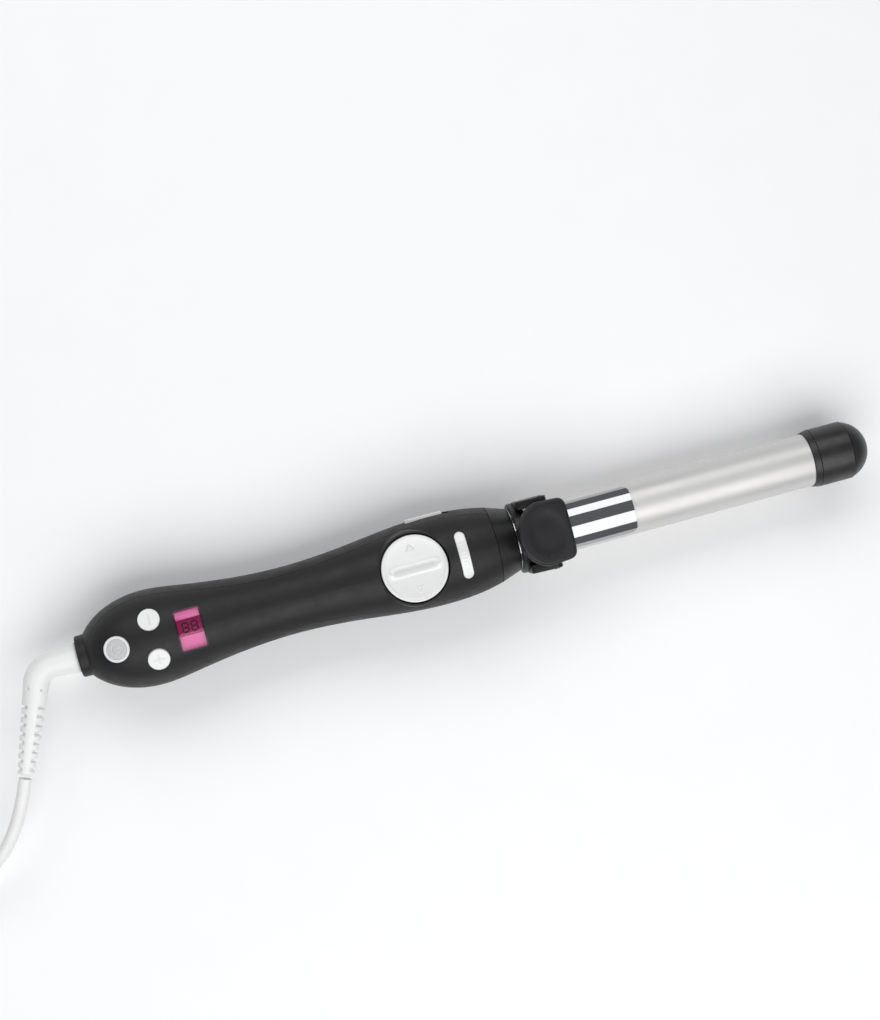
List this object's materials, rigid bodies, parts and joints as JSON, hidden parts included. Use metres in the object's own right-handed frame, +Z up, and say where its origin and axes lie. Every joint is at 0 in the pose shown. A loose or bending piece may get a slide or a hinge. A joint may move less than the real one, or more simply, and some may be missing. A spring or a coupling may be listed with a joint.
{
  "type": "automatic hair curler",
  "caption": "Corded hair curler: a motor in the contoured handle turns a heated round barrel carrying a sprung clip and a cool tip.",
  "frame": {"origin": "on the surface the tool lies on, under the middle of its length and its axis", "axes": "+X along the tool towards the cool tip, +Z up through the dial, +Y to the side of the speed slide"},
  "size_m": [0.5542, 0.1279, 0.0473],
  "materials": {
    "charcoal_shell": "fine-grained charcoal, matt",
    "black_satin": "satin black",
    "white_key": "pearl white",
    "pearl_dial": "pearl silver",
    "clear_lens": "translucent grey",
    "magenta_window": "magenta tint",
    "display": "lit liquid-crystal panel",
    "board_green": "solder-masked glass laminate",
    "switch_black": "moulded",
    "steel": "turned steel",
    "brass": "plain brass",
    "white_nylon": "natural nylon",
    "chrome": "mirror chrome",
    "ceramic_barrel": "pearl ceramic coat, satin",
    "aluminium": "extruded",
    "ceramic": "alumina",
    "black_grip": "soft-touch matt black",
    "white_cord": "white vinyl",
    "tie": "black strap"
  },
  "bodies": {
    "handle": {"handle_lower_shell": "charcoal_shell", "handle_top_cover": "charcoal_shell", "nose_cone": "black_satin", "case_screws": "steel", "rear_collar": "charcoal_shell", "swivel_brush_holder": "white_nylon", "display_window": "magenta_window", "display_module": "display", "control_board": "board_green", "dial_board": "board_green", "key_switches": "switch_black", "dial_switches": "switch_black", "rocker_pin": "steel", "slide_switch_body": "switch_black", "gear_motor": "steel", "gear_frame": "white_nylon", "motor_screws": "steel", "rear_bush": "brass", "front_bearing": "steel", "brush_block": "switch_black", "brushes": "brass", "cord_lead_in": "white_cord", "cord_coil": "white_cord", "coil_tie": "tie", "cord_tail": "white_cord", "plug_body": "white_cord", "plug_blades": "brass"},
    "cord_swivel": {"strain_relief": "white_cord", "swivel_core": "white_nylon", "swivel_contact_rings": "brass"},
    "power_key": {"power_button_rim": "white_key", "power_button_lens": "clear_lens"},
    "minus_key": {"minus_button": "white_key"},
    "plus_key": {"plus_button": "white_key"},
    "home_key": {"home_button": "white_key"},
    "dial": {"rocker_dial": "pearl_dial"},
    "slide_knob": {"speed_slide": "white_key"},
    "pinion": {"motor_pinion": "brass", "pinion_shaft": "steel"},
    "barrel": {"drive_gear": "white_nylon", "drive_spindle": "steel", "slip_ring_sleeve": "switch_black", "slip_ring_bands": "brass", "polished_ring": "chrome", "barrel_hub": "black_satin", "barrel_tube": "ceramic_barrel", "clip_ring": "black_satin", "hinge_pin": "steel", "clip_spring": "steel", "heat_spreaders": "aluminium", "ceramic_heater": "ceramic", "thermistor": "ceramic", "thermal_fuse": "aluminium", "tip_ring": "black_satin", "tip_sleeve": "black_satin", "tip_dome": "black_satin"},
    "clip": {"thumb_lever": "black_grip", "clip_blade": "chrome", "clip_rivets": "steel"}
  },
  "joints": [
    {"name": "cord_swivel_turn", "type": "hinge", "parent": "handle", "child": "cord_swivel", "pos_m": [-0.203, 0, 0.0209], "axis": [-1, 0, 0], "continuous": true},
    {"name": "power_press", "type": "slide", "parent": "handle", "child": "power_key", "axis": [0.2079, 0, -0.9781], "range_m": [0, 0.0007], "stiffness_N_per_m": 450, "springref_m": -0.001},
    {"name": "minus_press", "type": "slide", "parent": "handle", "child": "minus_key", "axis": [0, -0.3584, -0.9336], "range_m": [0, 0.0007], "stiffness_N_per_m": 450, "springref_m": -0.001},
    {"name": "plus_press", "type": "slide", "parent": "handle", "child": "plus_key", "axis": [0, 0.3584, -0.9336], "range_m": [0, 0.0007], "stiffness_N_per_m": 450, "springref_m": -0.001},
    {"name": "home_press", "type": "slide", "parent": "handle", "child": "home_key", "axis": [0, 0, -1], "range_m": [0, 0.0006], "stiffness_N_per_m": 450, "springref_m": -0.001},
    {"name": "dial_rock", "type": "hinge", "parent": "handle", "child": "dial", "pos_m": [-0.0343, 0, 0.0331], "axis": [1, 0, 0], "range_deg": [-3.5, 3.5], "stiffness_Nm_per_rad": 0.25},
    {"name": "speed_slide_move", "type": "slide", "parent": "handle", "child": "slide_knob", "axis": [1, 0, 0], "range_m": [0, 0.003]},
    {"name": "barrel_spin", "type": "hinge", "parent": "handle", "child": "barrel", "pos_m": [0.0164, 0, 0.0209], "axis": [1, 0, 0], "continuous": true},
    {"name": "pinion_spin", "type": "hinge", "parent": "handle", "child": "pinion", "pos_m": [-0.029, 0, 0.0114], "axis": [1, 0, 0], "continuous": true},
    {"name": "clip_open", "type": "hinge", "parent": "barrel", "child": "clip", "pos_m": [0.03, 0, 0.0375], "axis": [0, -1, 0], "range_deg": [0, 20], "stiffness_Nm_per_rad": 0.25, "springref_deg": -28.65}
  ],
  "couplings": [
    {"joint": "pinion_spin", "follows": "barrel_spin", "ratio": -2.1667}
  ]
}
